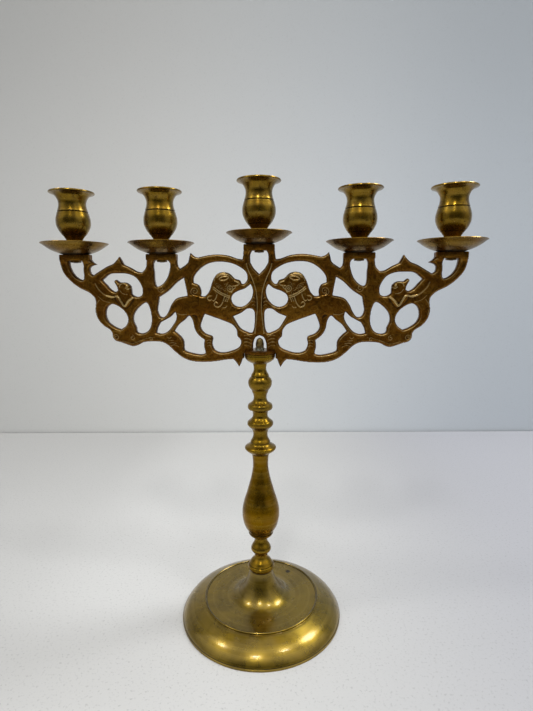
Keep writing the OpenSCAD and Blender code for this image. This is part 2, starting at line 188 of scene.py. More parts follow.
def turned_brass(name, axis_x=0.0, tone=OLIVE, grooves=(), rings=(), stains=(),
                 roughness=0.25, grime=0.5, dents=1.0, lacquer=0.0):
    """Aged brass off the lathe: turning rings round the axis at axis_x, patina in clouds, dirt in the
    grooves. grooves are (height, half-width), rings (radius, half-width) and stains (x, y, radius), all
    in metres; grime, dents and lacquer are amounts from 0 to 1."""
    g = Graph(name)
    x, y, z = g.axes()
    radius = g.axis_distance(x, y, axis_x, 0.0)
    profile = g.node("ShaderNodeCombineXYZ")
    g.link(radius, profile.inputs[0])
    g.link(z, profile.inputs[1])
    g.feed(profile.inputs[2], NOISE_SHIFT * axis_x)
    cuts = g.noise(2300.0, 3.0, 0.7, profile.outputs[0])
    bands = g.noise(300.0, 4.0, 0.6, profile.outputs[0])
    clouds = g.noise(34.0, 5.0, 0.6, distortion=0.7)
    patches = g.noise(95.0, 6.0, 0.65, distortion=0.3)
    mottle = g.noise(330.0, 5.0, 0.65)
    grain = g.noise(1700.0, 3.0, 0.7)

    darker, lighter = [TONE_DARKER * c for c in tone], [TONE_LIGHTER * c for c in tone]
    colour = g.mix(g.span(clouds, 0.35, 0.68), darker, lighter)
    colour = g.mix(g.span(bands, 0.40, 0.72, 0.0, 0.22), colour, GOLD)
    blush = g.times(g.span(patches, 0.52, 0.72), 0.35 * min(1.0, dents + 0.2))
    colour = g.mix(blush, colour, COPPER)
    tarnish = g.plus(g.times(patches, 0.6), g.times(mottle, 0.4))
    dark = g.times(g.span(tarnish, 0.50, 0.36), grime)
    colour = g.mix(dark, colour, BROWN)
    dirt = g.times(g.span(mottle, 0.67, 0.74), 0.6 * grime)
    for value, lines in ((z, grooves), (radius, rings)):
        for place, width in lines:
            away = g.math("ABSOLUTE", g.minus(value, place))
            ragged = g.times(g.span(away, width, 0.25 * width), g.span(patches, 0.3, 0.55, 0.7, 1.0))
            dirt = g.math("MAXIMUM", dirt, ragged)
    for place_x, place_y, size in stains:
        ripple = g.times(g.minus(mottle, 0.5), size)
        edge = g.plus(g.axis_distance(x, y, place_x, place_y), ripple)
        dirt = g.math("MAXIMUM", dirt, g.times(g.span(edge, size, 0.4 * size), 0.9))
    colour = g.mix(dirt, colour, SOOT_AND_SHADE)

    polish = g.span(patches, 0.3, 0.7, roughness - 0.05, roughness + 0.10)
    normal = g.bump(cuts, 0.00003, 0.5)
    normal = g.bump(bands, 0.0001, 0.35, normal)
    normal = g.bump(patches, 0.0003, 0.25 * dents, normal)
    normal = g.bump(mottle, 0.00012, 0.35 * dents, normal)
    return g.surface({
        "Base Color": colour,
        "Metallic": 1.0,
        "Roughness": g.plus(polish, g.times(g.plus(dark, dirt), 0.18)),
        "Coat Weight": lacquer,
        "Coat Roughness": LACQUER_ROUGHNESS,
        "Anisotropic": TURNING_STRETCH,
        "Anisotropic Rotation": TURNING_ROTATION,
        "Tangent": g.node("ShaderNodeTangent", direction_type="RADIAL", axis="Z").outputs[0],
        "Normal": g.bump(grain, 0.00003, 0.45, normal),
    })


def cast_brass(name, bloom_radius=0.0):
    """Red-brown patina over cast brass, golden where the mesh's wear_and_highlight attribute is high (worn
    by rubbing, and a painted highlight on the edges that face up) and black where its cavity_and_edge_shade
    attribute is high (dirt in the hollows, and painted shade along the outline). Pale verdigris grows within
    bloom_radius of the stem's axis."""
    g = Graph(name)
    wear_and_highlight = g.node("ShaderNodeAttribute", attribute_name="wear_and_highlight").outputs["Fac"]
    cavity_and_edge_shade = g.node("ShaderNodeAttribute", attribute_name="cavity_and_edge_shade").outputs["Fac"]
    clouds = g.noise(42.0, 5.0, 0.6, distortion=0.4)
    patches = g.noise(150.0, 5.0, 0.65)
    mottle = g.noise(420.0, 6.0, 0.7)
    grain = g.noise(1500.0, 4.0, 0.7)
    fibres = g.noise(190.0, 4.0, 0.6, distortion=2.2)
    colour = g.mix(g.span(clouds, 0.35, 0.68), CAST_DARK, CAST_LIGHT)
    colour = g.mix(g.times(g.span(patches, 0.50, 0.70), 0.5), colour, CAST_RED)
    colour = g.mix(g.times(g.span(fibres, 0.52, 0.36), 0.65), colour, CAST_BLACK)
    colour = g.mix(g.times(g.span(fibres, 0.56, 0.70), 0.45), colour, CAST_YELLOW)
    # Golden where worn by rubbing, and a painted highlight on the edges that face up
    brightened = g.span(g.plus(wear_and_highlight, g.times(g.minus(mottle, 0.5), 0.6)), 0.25, 0.95)
    colour = g.mix(g.times(brightened, 0.85), colour, CAST_RUBBED_AND_HIGHLIGHT)
    # Black for dirt in the hollows, and painted shade along the outline
    colour = g.mix(g.times(cavity_and_edge_shade, 0.75), colour, SOOT_AND_SHADE)
    metal = 0.95
    g.surface({"Metallic": metal})
    if bloom_radius:
        away = g.axis_distance(*g.axes()[:2], 0.0, 0.0)
        bloom = g.times(g.span(away, bloom_radius, 0.45 * bloom_radius), g.span(mottle, 0.40, 0.58))
        colour = g.mix(bloom, colour, VERDIGRIS)
        g.surface({"Metallic": g.span(bloom, 0.0, 1.0, metal, 0.1)})
    polish = g.span(brightened, 0.0, 1.0, 0.36, 0.30)
    normal = g.bump(grain, 0.00005, 0.55)
    normal = g.bump(patches, 0.0005, 0.30, normal)
    normal = g.bump(fibres, 0.0005, 0.45, normal)
    return g.surface({
        "Base Color": colour,
        "Roughness": g.plus(polish, g.times(g.minus(patches, 0.5), 0.35)),
        "Normal": g.bump(mottle, 0.0003, 0.35, normal),
    })


def dull_steel(name):
    """Grey steel with a little rust: the rod, its washer and the threads."""
    g = Graph(name)
    clouds = g.noise(160.0, 5.0, 0.6)
    grain = g.noise(1900.0, 3.0, 0.6)
    rust = g.span(clouds, 0.52, 0.70)
    colour = g.mix(g.span(grain, 0.3, 0.7), STEEL_DARK, STEEL_LIGHT)
    return g.surface({
        "Base Color": g.mix(g.times(rust, 0.7), colour, RUST),
        "Metallic": 0.9,
        "Roughness": g.span(rust, 0.0, 1.0, 0.38, 0.75),
        "Normal": g.bump(grain, 0.00005, 0.5, g.bump(clouds, 0.0002, 0.4)),
    })


def verdigris_brass(name):
    """The domed nut's brass, with pale green-white bloom round its foot."""
    g = Graph(name)
    z = g.axes()[2]
    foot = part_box("arm_nut")[0].z
    bloom_height = 0.0045
    mottle = g.noise(700.0, 6.0, 0.7)
    clouds = g.noise(250.0, 4.0, 0.6)
    colour = g.mix(g.span(clouds, 0.35, 0.65), NUT_DARK, NUT_LIGHT)
    bloom = g.times(g.span(z, foot, foot + bloom_height, 1.0, 0.0), g.span(mottle, 0.42, 0.62))
    return g.surface({
        "Base Color": g.mix(bloom, colour, VERDIGRIS),
        "Metallic": g.span(bloom, 0.0, 1.0, 0.92, 0.1),
        "Roughness": g.span(bloom, 0.0, 1.0, 0.42, 0.9),
        "Normal": g.bump(mottle, 0.0002, 0.6),
    })


# ---------------------------------------------------------------- the openwork panel

CELL = 0.5
PANEL_T = 7.0
EDGE_ROUND = 2.2
LUG_T = 5.5
LUG_W = 28.0
LUG_D = 8.5
LUG_CORNER = 1.0
STUD_HOLE_R = 2.55
FOOT_R = 14.8
ROD_HOLE_R = 3.05
JOINT_DEPTH = 1.0
FACES_FRONT = -0.99
SLACK, CLOSE = 0.1, 0.05
NO_LUG = 1e3
LUG_TOPS = {side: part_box("drip_pan_" + side)[0].z / MM for side in SIDES}
LUG_X = {side: middle("drip_pan_" + side).x / MM for side in SIDES}
FOOT_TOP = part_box("arm_nut")[0].z / MM
FOOT_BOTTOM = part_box("stem_upper")[1].z / MM


def smooth(points, step=0.25, loop=False):
    """Points every step or so along a smooth curve through the given ones."""
    p = [np.array(q, float) for q in points]
    n = len(p)
    made = []
    for i in range(n if loop else n - 1):
        a = p[(i - 1) % n] if loop or i > 0 else p[i]
        b, c = p[i], p[(i + 1) % n]
        d = p[(i + 2) % n] if loop or i + 2 < n else c
        square = 2 * a - 5 * b + 4 * c - d
        cube = 3 * b - a - 3 * c + d
        count = max(2, int(np.linalg.norm(c - b) / step) + 1)
        for t in np.arange(count) / count:
            made.append(0.5 * (2 * b + (c - a) * t + square * t**2 + cube * t**3))
    if not loop:
        made.append(p[-1])
    return np.array(made)


def arc(centre, radius, start, end, shrink):
    """Points round a circle from start to end degrees; shrink winds it inwards by so much in all."""
    turn = np.radians(np.linspace(start, end, max(8, int(abs(end - start) * radius / 14))))
    r = radius - shrink * np.linspace(0, 1, len(turn))
    return np.stack([centre[0] + r * np.cos(turn), centre[1] + r * np.sin(turn)], -1)


def inside(polygon, x, z):
    """True where (x, z) is in the even-odd area of the loops of points."""
    found = np.zeros(x.shape, bool)
    for loop in polygon:
        a, b = loop, np.roll(loop, -1, 0)
        for (x0, z0), (x1, z1) in zip(a, b):
            if z0 == z1:
                continue
            crossed = (z0 <= z) != (z1 <= z)
            found ^= crossed & (x < x0 + (z - z0) / (z1 - z0) * (x1 - x0))
    return found


def front_outline():
    """Closed loops, in millimetres, round the panel's flat front face."""
    mesh = nodes["arm_panel"].data
    co = np.array([v.co for v in mesh.vertices]) / MM
    depth = middle("arm_panel").y / MM - PANEL_T / 2
    use = {}
    for face in mesh.polygons:
        if face.normal.y > FACES_FRONT or abs(face.center.y / MM - depth) > CLOSE:
            continue
        ring = [tuple(np.round(co[i][[0, 2]], 3)) for i in face.vertices]
        for edge in zip(ring, ring[1:] + ring[:1]):
            use[frozenset(edge)] = use.get(frozenset(edge), 0) + 1
    follow = {}
    for edge, count in use.items():
        if count == 1:
            a, b = edge
            follow.setdefault(a, []).append(b)
            follow.setdefault(b, []).append(a)
    loops = []
    while follow:
        start = next(iter(follow))
        loop, at = [start], start
        while True:
            onward = follow[at]
            step = onward.pop()
            if not onward:
                del follow[at]
            follow[step].remove(at)
            if not follow[step]:
                del follow[step]
            if step == start:
                break
            loop.append(step)
            at = step
        loops.append(np.array(loop))
    return loops


def lug_over(x):
    """Height of the underside of the lug over each x, far above the panel where there is none."""
    limit = np.full(np.shape(x), NO_LUG)
    for side in SIDES:
        under = np.abs(x - LUG_X[side]) < LUG_W / 2 + 1
        limit = np.where(under, LUG_TOPS[side] - LUG_T, limit)
    return limit


def joined(x, z):
    """True on the parts of the outline where the casting runs into a lug or into the foot disc."""
    on_disc = (np.abs(x) < FOOT_R + SLACK) & (z > FOOT_BOTTOM - SLACK) & (z < FOOT_TOP + CLOSE)
    return on_disc | (z > lug_over(x) - CLOSE)


class Field:
    """Values over a grid of [x, z] points in millimetres, symmetrical about x = 0 and worked out for
    x >= 0 only."""

    def __init__(self, width, bottom, top, cell):
        self.cell = cell
        self.bottom = bottom
        columns, rows = np.arange(0, width, cell), np.arange(bottom, top, cell)
        self.x, self.z = np.meshgrid(columns, rows, indexing="ij")

    def near(self, line, reach, loop=False):
        """Distance to a line of points, up to reach, and the nearest point on it."""
        far = np.full(self.x.shape, float(reach))
        at_x, at_z = self.x.copy(), self.z.copy()
        ends = np.roll(line, -1, 0) if loop else line[1:]
        for (x0, z0), (x1, z1) in zip(line, ends):
            i0 = max(0, int((min(x0, x1) - reach) / self.cell))
            i1 = int((max(x0, x1) + reach) / self.cell) + 2
            j0 = max(0, int((min(z0, z1) - reach - self.bottom) / self.cell))
            j1 = int((max(z0, z1) + reach - self.bottom) / self.cell) + 2
            if i1 <= 0 or j1 <= 0:
                continue
            x, z = self.x[i0:i1, j0:j1], self.z[i0:i1, j0:j1]
            run = max((x1 - x0) ** 2 + (z1 - z0) ** 2, 1e-12)
            t = np.clip(((x - x0) * (x1 - x0) + (z - z0) * (z1 - z0)) / run, 0, 1)
            qx, qz = x0 + t * (x1 - x0), z0 + t * (z1 - z0)
            away = np.hypot(x - qx, z - qz)
            closer = away < far[i0:i1, j0:j1]
            far[i0:i1, j0:j1][closer] = away[closer]
            at_x[i0:i1, j0:j1][closer] = qx[closer]
            at_z[i0:i1, j0:j1][closer] = qz[closer]
        return far, at_x, at_z


def blurred(values, weight, passes, size):
    """values smoothed over size cells each way, counting only where weight is set."""
    def box(a):
        for axis in (0, 1):
            total = np.cumsum(np.pad(a, [(size + 1, size) if k == axis else (0, 0) for k in (0, 1)]), axis)
            n = a.shape[axis]
            take = [slice(None), slice(None)]
            take[axis] = slice(2 * size + 1, 2 * size + 1 + n)
            high = total[tuple(take)]
            take[axis] = slice(0, n)
            a = (high - total[tuple(take)]) / (2 * size + 1)
        return a

    top, under = values * weight, weight.astype(float)
    for _ in range(passes):
        top, under = box(top), box(under)
    return top / np.maximum(under, 1e-6)


def ease(t):
    t = np.clip(t, 0, 1)
    return t * t * (3 - 2 * t)


# Raised lines, right-hand side. A curve is (points, half-width, height) and a coil is (centre, radius,
# start, end, shrink, half-width, height), with start and end in degrees.
FINE = 0.55
HAIR = 0.7
LINE = 0.75
ROPE = 1.2


def curves(rows):
    return [(smooth(points), width, height) for points, width, height in rows]


def coils(rows):
    return [(arc(*shape), width, height) for *shape, width, height in rows]


def repeated(count, points, width, height):
    """Copies of one stroke. points are (x, z, step in x, step in z)."""
    return [([(x + k * dx, z + k * dz) for x, z, dx, dz in points], width, height) for k in range(count)]


# One side of the smooth wedge down the middle of the panel
SPINE_EDGE = [(4.2, 281.0), (3.2, 290.0), (2.3, 298.5), (1.9, 305.7), (2.2, 313.0), (3.0, 320.2),
              (4.8, 326.4), (7.0, 332.2), (9.7, 338.0), (11.4, 344.2)]

# The lion's eyelid, brow, crown, mouth and jaw, and its nostril
HEAD_CURVES = [
    ([(36.4, 330.6), (34.2, 332.2), (31.0, 332.8), (27.6, 332.1), (29.2, 330.5), (32.0, 329.2),
      (34.7, 329.4), (36.4, 330.6)], HAIR, 0.60),
    ([(38.4, 332.0), (35.5, 334.0), (31.9, 334.6), (27.8, 334.0), (25.1, 332.3), (23.7, 331.0)], LINE, 0.42),
    ([(41.1, 328.8), (40.0, 332.2), (36.9, 335.0), (32.8, 336.3), (28.2, 335.8), (24.2, 333.7),
      (21.8, 330.5)], LINE, 0.42),
    ([(22.4, 328.6), (20.0, 327.7), (18.3, 326.6), (19.2, 325.2), (21.6, 324.4), (23.8, 324.4)], LINE, 0.45),
    ([(21.5, 323.0), (24.0, 321.0), (25.3, 318.6)], HAIR, 0.35),
]
HEAD_COILS = [((26.6, 321.9), 2.5, 0, 360, 0.0, LINE, 0.42), ((26.6, 321.9), 0.9, 0, 360, 0.0, 0.8, 0.32)]

# Short strokes and small curls of the mane and the cheek
MANE_CURVES = repeated(3, [(40.9, 327.2, -1.0, -1.7), (37.5, 326.2, -1.0, -1.8), (34.2, 324.3, -1.0, -1.7)],
                       FINE, 0.36)
CURLS = [(30.6, 325.2, 20), (27.8, 326.2, 200), (31.4, 321.2, 80), (34.6, 321.0, 260), (30.0, 318.0, 120),
         (37.4, 323.2, 0)]
MANE_COILS = [((x, z), 1.15, turn, turn + 260, 0.0, FINE, 0.34) for x, z, turn in CURLS]

# The two lines of the collar, its bow and tassels, and the wedge's edge
COLLAR_CURVES = [
    ([(41.4, 323.2), (37.6, 320.3), (32.4, 317.1), (26.9, 315.1)], HAIR, 0.6),
    ([(42.0, 321.7), (38.05, 318.8), (32.4, 315.6), (26.9, 313.6)], HAIR, 0.6),
    ([(43.4, 315.6), (45.6, 315.3), (47.1, 314.0), (47.0, 312.4), (45.2, 311.3), (43.5, 312.2)], HAIR, 0.5),
    ([(38.4, 317.0), (39.4, 314.0), (41.2, 311.1), (42.6, 311.4)], HAIR, 0.55),
    (SPINE_EDGE, HAIR, 0.28),
    ([(31.8, 314.4), (33.0, 310.8), (35.1, 306.9), (37.9, 305.3), (40.5, 306.5), (41.1, 308.5),
      (39.7, 309.9), (38.1, 309.0)], HAIR, 0.6),
    ([(30.0, 313.2), (30.6, 311.8), (31.2, 310.5)], HAIR, 0.45),
    ([(28.3, 312.9), (28.9, 311.6), (29.4, 310.3)], HAIR, 0.4),
    ([(33.3, 304.9), (31.3, 304.7), (29.8, 306.2)], HAIR, 0.4),
]

# Veins of the leaves, and the stems' long creases
LEAF_CURVES = [
    *repeated(4, [(7.6, 268.4, 0, 3.2), (10.8, 270.0, 0, 3.2), (14.2, 270.2, 0, 3.0)], HAIR, 0.4),
    *repeated(4, [(75.6, 268.8, 2.2, 2.9), (79.6, 270.4, 1.4, 2.0), (83.0, 269.2, 1.0, 2.8)], HAIR, 0.42),
    *repeated(3, [(44.4, 269.0, 0, 2.6), (46.6, 269.9, 0, 2.6), (48.8, 269.3, 0, 2.6)], HAIR, 0.36),
    *repeated(3, [(3.9, 306.4, 0, 3.2), (5.2, 307.6, 0, 3.2), (6.6, 307.0, 0, 3.2)], HAIR, 0.36),
    ([(76.0, 299.6), (72.0, 298.4), (67.2, 298.7)], LINE, 0.36),
    ([(137.0, 314.0), (143.0, 316.6), (148.5, 321.6), (151.5, 327.0)], ROPE, 0.40),
    ([(139.0, 309.5), (145.0, 311.5), (149.5, 315.5)], LINE, 0.34),
    ([(151.0, 298.0), (152.0, 306.0), (148.5, 312.0)], LINE, 0.34),
    ([(98.0, 277.6), (106.0, 276.0), (113.0, 273.6), (119.5, 271.6), (128.0, 274.0)], LINE, 0.30),
]
# Curled tips of the leaves as (x, z, radius, start, sweep), after the ball of the lion's tail
LEAF_TIPS = [(90.5, 322.0, 3.4, 200, 470), (134.4, 277.2, 3.0, 0, 480), (119.0, 277.0, 2.4, 90, 400),
             (101.5, 275.6, 2.0, 30, 330)]
TIP_SHRINK = 0.72
LEAF_COILS = [((59.2, 319.6), 4.0, -90, 500, 3.4, LINE, 0.45)]
for x, z, r, start, sweep in LEAF_TIPS:
    LEAF_COILS.append(((x, z), r, start, start + sweep, TIP_SHRINK * r, LINE, 0.42))

# The squirrel's body and its branch, head, mouth and paw, and its eye
SQUIRREL_CURVES = [
    ([(141.5, 315.8), (136.4, 314.6), (131.0, 315.0), (127.8, 310.4), (124.8, 306.2), (121.0, 310.8),
      (116.8, 314.0)], ROPE, 0.75),
    ([(120.2, 325.4), (123.4, 326.8), (127.4, 326.2), (129.0, 323.6)], LINE, 0.45),
    ([(118.6, 322.6), (121.2, 321.8), (123.2, 322.8)], LINE, 0.45),
    ([(128.6, 320.8), (126.0, 317.8), (121.6, 317.0)], FINE, 0.4),
]
SQUIRREL_COILS = [((121.8, 324.2), 0.7, 0, 360, 0.0, 0.7, 0.45)]

# Areas whose faces are raised in a pillow, and the wedge
LION = [(17.0, 329.5), (21.0, 333.5), (27.0, 338.0), (36.0, 338.0), (43.5, 332.0), (45.5, 322.0),
        (51.0, 315.6), (62.0, 315.8), (74.0, 315.2), (84.0, 310.0), (84.0, 303.0), (77.0, 292.0),
        (69.0, 296.0), (58.0, 298.0), (54.0, 284.0), (46.0, 280.0), (44.0, 288.0), (50.0, 296.0),
        (36.0, 293.0), (25.0, 291.0), (20.0, 301.0), (24.0, 309.0), (24.0, 318.0), (17.0, 324.0)]
SQUIRREL = [(116.5, 314.0), (124.0, 305.0), (132.0, 312.0), (133.0, 322.0), (130.0, 328.5),
            (117.0, 328.5), (115.0, 320.0)]
SPINE = [(-x, z) for x, z in SPINE_EDGE] + SPINE_EDGE[::-1]

GRID_WIDTH, GRID_BOTTOM, GRID_TOP = 186.0, 247.6, 362.0
EDGE_REACH = 14.0
SHAPE_REACH = 3.0
LION_BLEND, SMALL_BLEND = 1.6, 1.2
RIM_HEIGHT, RIM_AT, RIM_WIDTH = 0.20, 1.35, 0.50
PILLOW_HEIGHT, PILLOW_OVER = 0.75, 3.2
SUNK_DEPTH, SUNK_FROM, SUNK_OVER = 0.22, 1.6, 1.4
WEDGE_HEIGHT, WEDGE_OVER = 0.55, 2.0
CAST_SEED = 11
LUMP_HEIGHT, PIT_HEIGHT, LION_CALM = 0.35, 0.05, 0.6
RUBBED_FROM = 0.35
FADE_AT_EDGE = 1.2
LUG_RAMP = 4.0
MIRROR_LINE = 0.02
# Wear of the brim by the edge, with a painted highlight added where it faces up, and of the sharp ridges;
# painted shade along the outline
BRIM_AT, BRIM_WIDTH, BRIM_DRAWN = 1.2, 0.5, 0.2
BRIM_WEAR, UPWARD_HIGHLIGHT = 0.18, 0.42
RIDGE_WEAR, RIDGE_SHARP, RIDGE_FROM = 0.25, 0.22, 0.5
HOLLOW_DEPTH, HOLLOW_START, HOLLOW_OVER = 0.20, 0.15, 0.8
EDGE_SHADE, EDGE_SHADE_OVER = 0.7, 0.8


def outline_distances(field, loops):
    """Distance to the whole outline, the nearest point on it, and the distance to the part of it whose
    edge is rounded, which leaves out the joints and the mirror line."""
    x, z = field.x, field.z
    edge, at_x, at_z = np.full(x.shape, EDGE_REACH), x.copy(), z.copy()
    round_edge = np.full(x.shape, EDGE_REACH)
    for loop in loops:
        away, qx, qz = field.near(loop, EDGE_REACH, loop=True)
        closer = away < edge
        edge = np.where(closer, away, edge)
        at_x, at_z = np.where(closer, qx, at_x), np.where(closer, qz, at_z)
        for a, b in zip(loop, np.roll(loop, -1, 0)):
            mid = (a + b) / 2
            if a[0] > -EDGE_REACH and not joined(*mid) and abs(mid[0]) > MIRROR_LINE:
                away = field.near(np.array([a, b]), EDGE_REACH)[0]
                round_edge = np.minimum(round_edge, away)
    return edge, at_x, at_z, round_edge


def area_blend(field, points, blend):
    """1 inside a smooth loop through the points and 0 outside, changing over blend millimetres."""
    loop = smooth(points, 1.0, loop=True)
    away = field.near(loop, SHAPE_REACH, loop=True)[0]
    signed = np.where(inside([loop], field.x, field.z), away, -away)
    return ease(signed / blend + 0.5)


def drawn_lines(field):
    """Height of the raised lines, and how much each is brightened by rubbing."""
    drawn = np.zeros(field.x.shape)
    brightened = np.zeros(field.x.shape)
    groups = (
        (curves(HEAD_CURVES + COLLAR_CURVES) + coils(HEAD_COILS), 1.0),
        (curves(MANE_CURVES) + coils(MANE_COILS), 0.5),
        (curves(LEAF_CURVES) + coils(LEAF_COILS), 0.45),
        (curves(SQUIRREL_CURVES) + coils(SQUIRREL_COILS), 0.8),
    )
    for lines, rub in groups:
        for line, width, height in lines:
            away = field.near(line, width)[0]
            ridge = height * 0.5 * (1 + np.cos(np.pi * away / width)) * (away < width)
            drawn = np.maximum(drawn, ridge)
            brightened = np.maximum(brightened, rub * ease(ridge / RUBBED_FROM))
    return drawn, brightened


def panel_relief(field, round_edge, drawn):
    """Height of the relief over the flat face, before it fades out at the edges."""
    lion = area_blend(field, LION, LION_BLEND)
    squirrel = area_blend(field, SQUIRREL, SMALL_BLEND)
    spine = area_blend(field, SPINE, SMALL_BLEND)
    figure = np.maximum(lion, squirrel)
    rim = RIM_HEIGHT * np.exp(-((round_edge - RIM_AT) / RIM_WIDTH) ** 2) * (1 - figure)
    pillow = PILLOW_HEIGHT * (1 - np.exp(-round_edge / PILLOW_OVER)) * figure
    sunk = -SUNK_DEPTH * ease((round_edge - SUNK_FROM) / SUNK_OVER) * (1 - figure)
    relief = rim + pillow + sunk + WEDGE_HEIGHT * spine * ease(round_edge / WEDGE_OVER)
    rng = np.random.default_rng(CAST_SEED)
    every = np.ones(field.x.shape)
    lumps = blurred(rng.standard_normal(every.shape), every, 2, 3)
    pits = blurred(rng.standard_normal(every.shape), every, 1, 1)
    relief += (LUMP_HEIGHT * lumps + PIT_HEIGHT * pits) * (1 - LION_CALM * lion)
    return relief + drawn


def panel_casting():
    """Half of the casting over a grid: whether the metal is there, the distance to its outline and the
    nearest point on it, and the height, wear_and_highlight and cavity_and_edge_shade of its front: worn
    metal with a painted highlight on the edges that face up, and dirt in the hollows with painted shade
    along the outline."""
    field = Field(GRID_WIDTH, GRID_BOTTOM, GRID_TOP, CELL)
    loops = []
    for loop in front_outline():
        loop[:, 1] = np.minimum(loop[:, 1], lug_over(loop[:, 0]))
        loops.append(loop)
    metal = inside(loops, field.x, field.z)
    edge, at_x, at_z, round_edge = outline_distances(field, loops)
    drawn, brightened = drawn_lines(field)
    relief = panel_relief(field, round_edge, drawn)

    off_edge = np.maximum(EDGE_ROUND - round_edge, 0)
    rounding = EDGE_ROUND - np.sqrt(np.maximum(EDGE_ROUND**2 - off_edge**2, 0))
    height = PANEL_T / 2 - rounding + relief * ease(round_edge / FADE_AT_EDGE)
    height += (LUG_D - PANEL_T) / 2 * ease(1 - (lug_over(field.x) - field.z) / LUG_RAMP)
    sharp = (height - blurred(height, metal, 2, 3)) * metal

    slope = -np.gradient(round_edge, CELL, axis=1)
    upward = np.clip(slope, 0, 1) * (round_edge < 0.9 * EDGE_REACH)
    brim = np.exp(-((round_edge - BRIM_AT) / BRIM_WIDTH) ** 2) * (1 - ease(drawn / BRIM_DRAWN))
    ridges = RIDGE_WEAR * ease(sharp / RIDGE_SHARP) * ease(round_edge / RIDGE_FROM)
    # Worn brim and ridges, plus a painted highlight on the brim where the edge faces up
    wear_and_highlight = (BRIM_WEAR + UPWARD_HIGHLIGHT * upward) * brim + ridges + brightened
    hollow = ease(-sharp / HOLLOW_DEPTH - HOLLOW_START) * ease((round_edge - BRIM_AT) / HOLLOW_OVER)
    # Dirt in the hollows, plus painted shade over the outermost rim of the outline
    cavity_and_edge_shade = np.maximum(hollow, EDGE_SHADE * (1 - ease(round_edge / EDGE_SHADE_OVER)))
    return field, metal, edge, at_x, at_z, height, np.clip(wear_and_highlight, 0, 1), np.clip(cavity_and_edge_shade, 0, 1)


def mirrored(values, sign=1):
    return np.concatenate([sign * values[:0:-1], values], 0)


SNAP = 0.35 * CELL


def casting_mesh():
    """The casting's front face: points [x, z] in millimetres; each point's height, wear_and_highlight and
    cavity_and_edge_shade, which hold a painted highlight and painted shade besides the worn metal and the
    hollows' dirt; which points are on the outline; and the faces."""
    field, metal, edge, at_x, at_z, height, wear_and_highlight, cavity_and_edge_shade = panel_casting()
    x, z = mirrored(field.x, -1), mirrored(field.z)
    at_x, at_z = mirrored(at_x, -1), mirrored(at_z)
    metal, edge = mirrored(metal), mirrored(edge)
    layers = [mirrored(v) for v in (height, wear_and_highlight, cavity_and_edge_shade)]
    signed = np.where(metal, edge, -edge)
    snapped = edge < SNAP
    keep = (signed > 0) | snapped
    px, pz = np.where(snapped, at_x, x), np.where(snapped, at_z, z)

    # Points: kept grid points, then one crossing on each grid edge that the outline cuts.
    index = np.full(x.shape, -1)
    index[keep] = np.arange(keep.sum())
    crossing = {}
    count = int(keep.sum())
    cut_points, cut_data = [], []
    for axis in (0, 1):
        one = [slice(None), slice(None)]
        two = [slice(None), slice(None)]
        one[axis], two[axis] = slice(0, -1), slice(1, None)
        one, two = tuple(one), tuple(two)
        cut = (keep[one] != keep[two]) & ~snapped[one] & ~snapped[two]
        for i, j in zip(*np.nonzero(cut)):
            p = (i, j)
            q = (i + 1, j) if axis == 0 else (i, j + 1)
            t = signed[p] / (signed[p] - signed[q])
            cut_points.append((x[p] + t * (x[q] - x[p]), z[p] + t * (z[q] - z[p])))
            cut_data.append([(1 - t) * v[p] + t * v[q] for v in layers])
            crossing[(p, axis)] = count
            count += 1
    points = np.concatenate([np.stack([px[keep], pz[keep]], -1), np.array(cut_points)])
    data = np.concatenate([np.stack([v[keep] for v in layers], -1), np.array(cut_data)])
    border = np.concatenate([snapped[keep], np.ones(len(cut_points), bool)])

    corner_sets = [(slice(0, -1), slice(0, -1)), (slice(1, None), slice(0, -1)),
                   (slice(1, None), slice(1, None)), (slice(0, -1), slice(1, None))]
    kept_corners = np.stack([keep[c] for c in corner_sets])
    full = kept_corners.all(0)
    some = kept_corners.any(0) & ~full
    faces = np.stack([index[c][full] for c in corner_sets], -1).tolist()
    for i, j in zip(*np.nonzero(some)):
        ring = []
        corners = [(i, j), (i + 1, j), (i + 1, j + 1), (i, j + 1)]
        edges = [((i, j), 0), ((i + 1, j), 1), ((i, j + 1), 0), ((i, j), 1)]
        for corner, side in zip(corners, edges):
            if keep[corner]:
                ring.append(int(index[corner]))
            if side in crossing:
                ring.append(crossing[side])
        if len(ring) >= 3:
            faces.append(ring)
    return points, data, border, faces


# ---------------------------------------------------------------- making pieces


def piece(name, verts, faces, material, body, sharp=35.0):
    """A mesh object, given in metres, shaded smooth except over edges sharper than sharp degrees."""
    mesh = bpy.data.meshes.new(name)
    mesh.from_pydata(verts, [], faces)
    mesh.validate()
    mesh.shade_smooth()
    if sharp:
        mesh.set_sharp_from_angle(angle=math.radians(sharp))
    mesh.materials.append(material)
    made = bpy.data.objects.new(name, mesh)
    bpy.context.scene.collection.objects.link(made)
    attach(made, body)
    return made


def around(name, rings, centre, material, body, count=96, closed=True, sharp=35.0):
    """A solid round a vertical axis. rings are (radius, height) in millimetres, each a number or a
    function of the angle; closed joins the last ring to the first, round a bore, and otherwise each end
    ring is filled in."""
    turn = np.arange(count) * 2 * math.pi / count
    verts = []
    for radius, height in rings:
        r = radius(turn) if callable(radius) else np.full(count, float(radius))
        h = height(turn) if callable(height) else np.full(count, float(height))
        x, y = centre[0] + r * np.cos(turn) * MM, centre[1] + r * np.sin(turn) * MM
        verts.append(np.stack([x, y, h * MM], -1))
    verts = np.concatenate(verts)
    faces = []
    total = len(rings)
    for k in range(total if closed else total - 1):
        low, high = k * count, (k + 1) % total * count
        for i in range(count):
            j = (i + 1) % count
            faces.append((low + i, low + j, high + j, high + i))
    if not closed:
        faces.append(tuple(range(count))[::-1])
        faces.append(tuple((total - 1) * count + i for i in range(count)))
    return piece(name, verts.tolist(), faces, material, body, sharp)


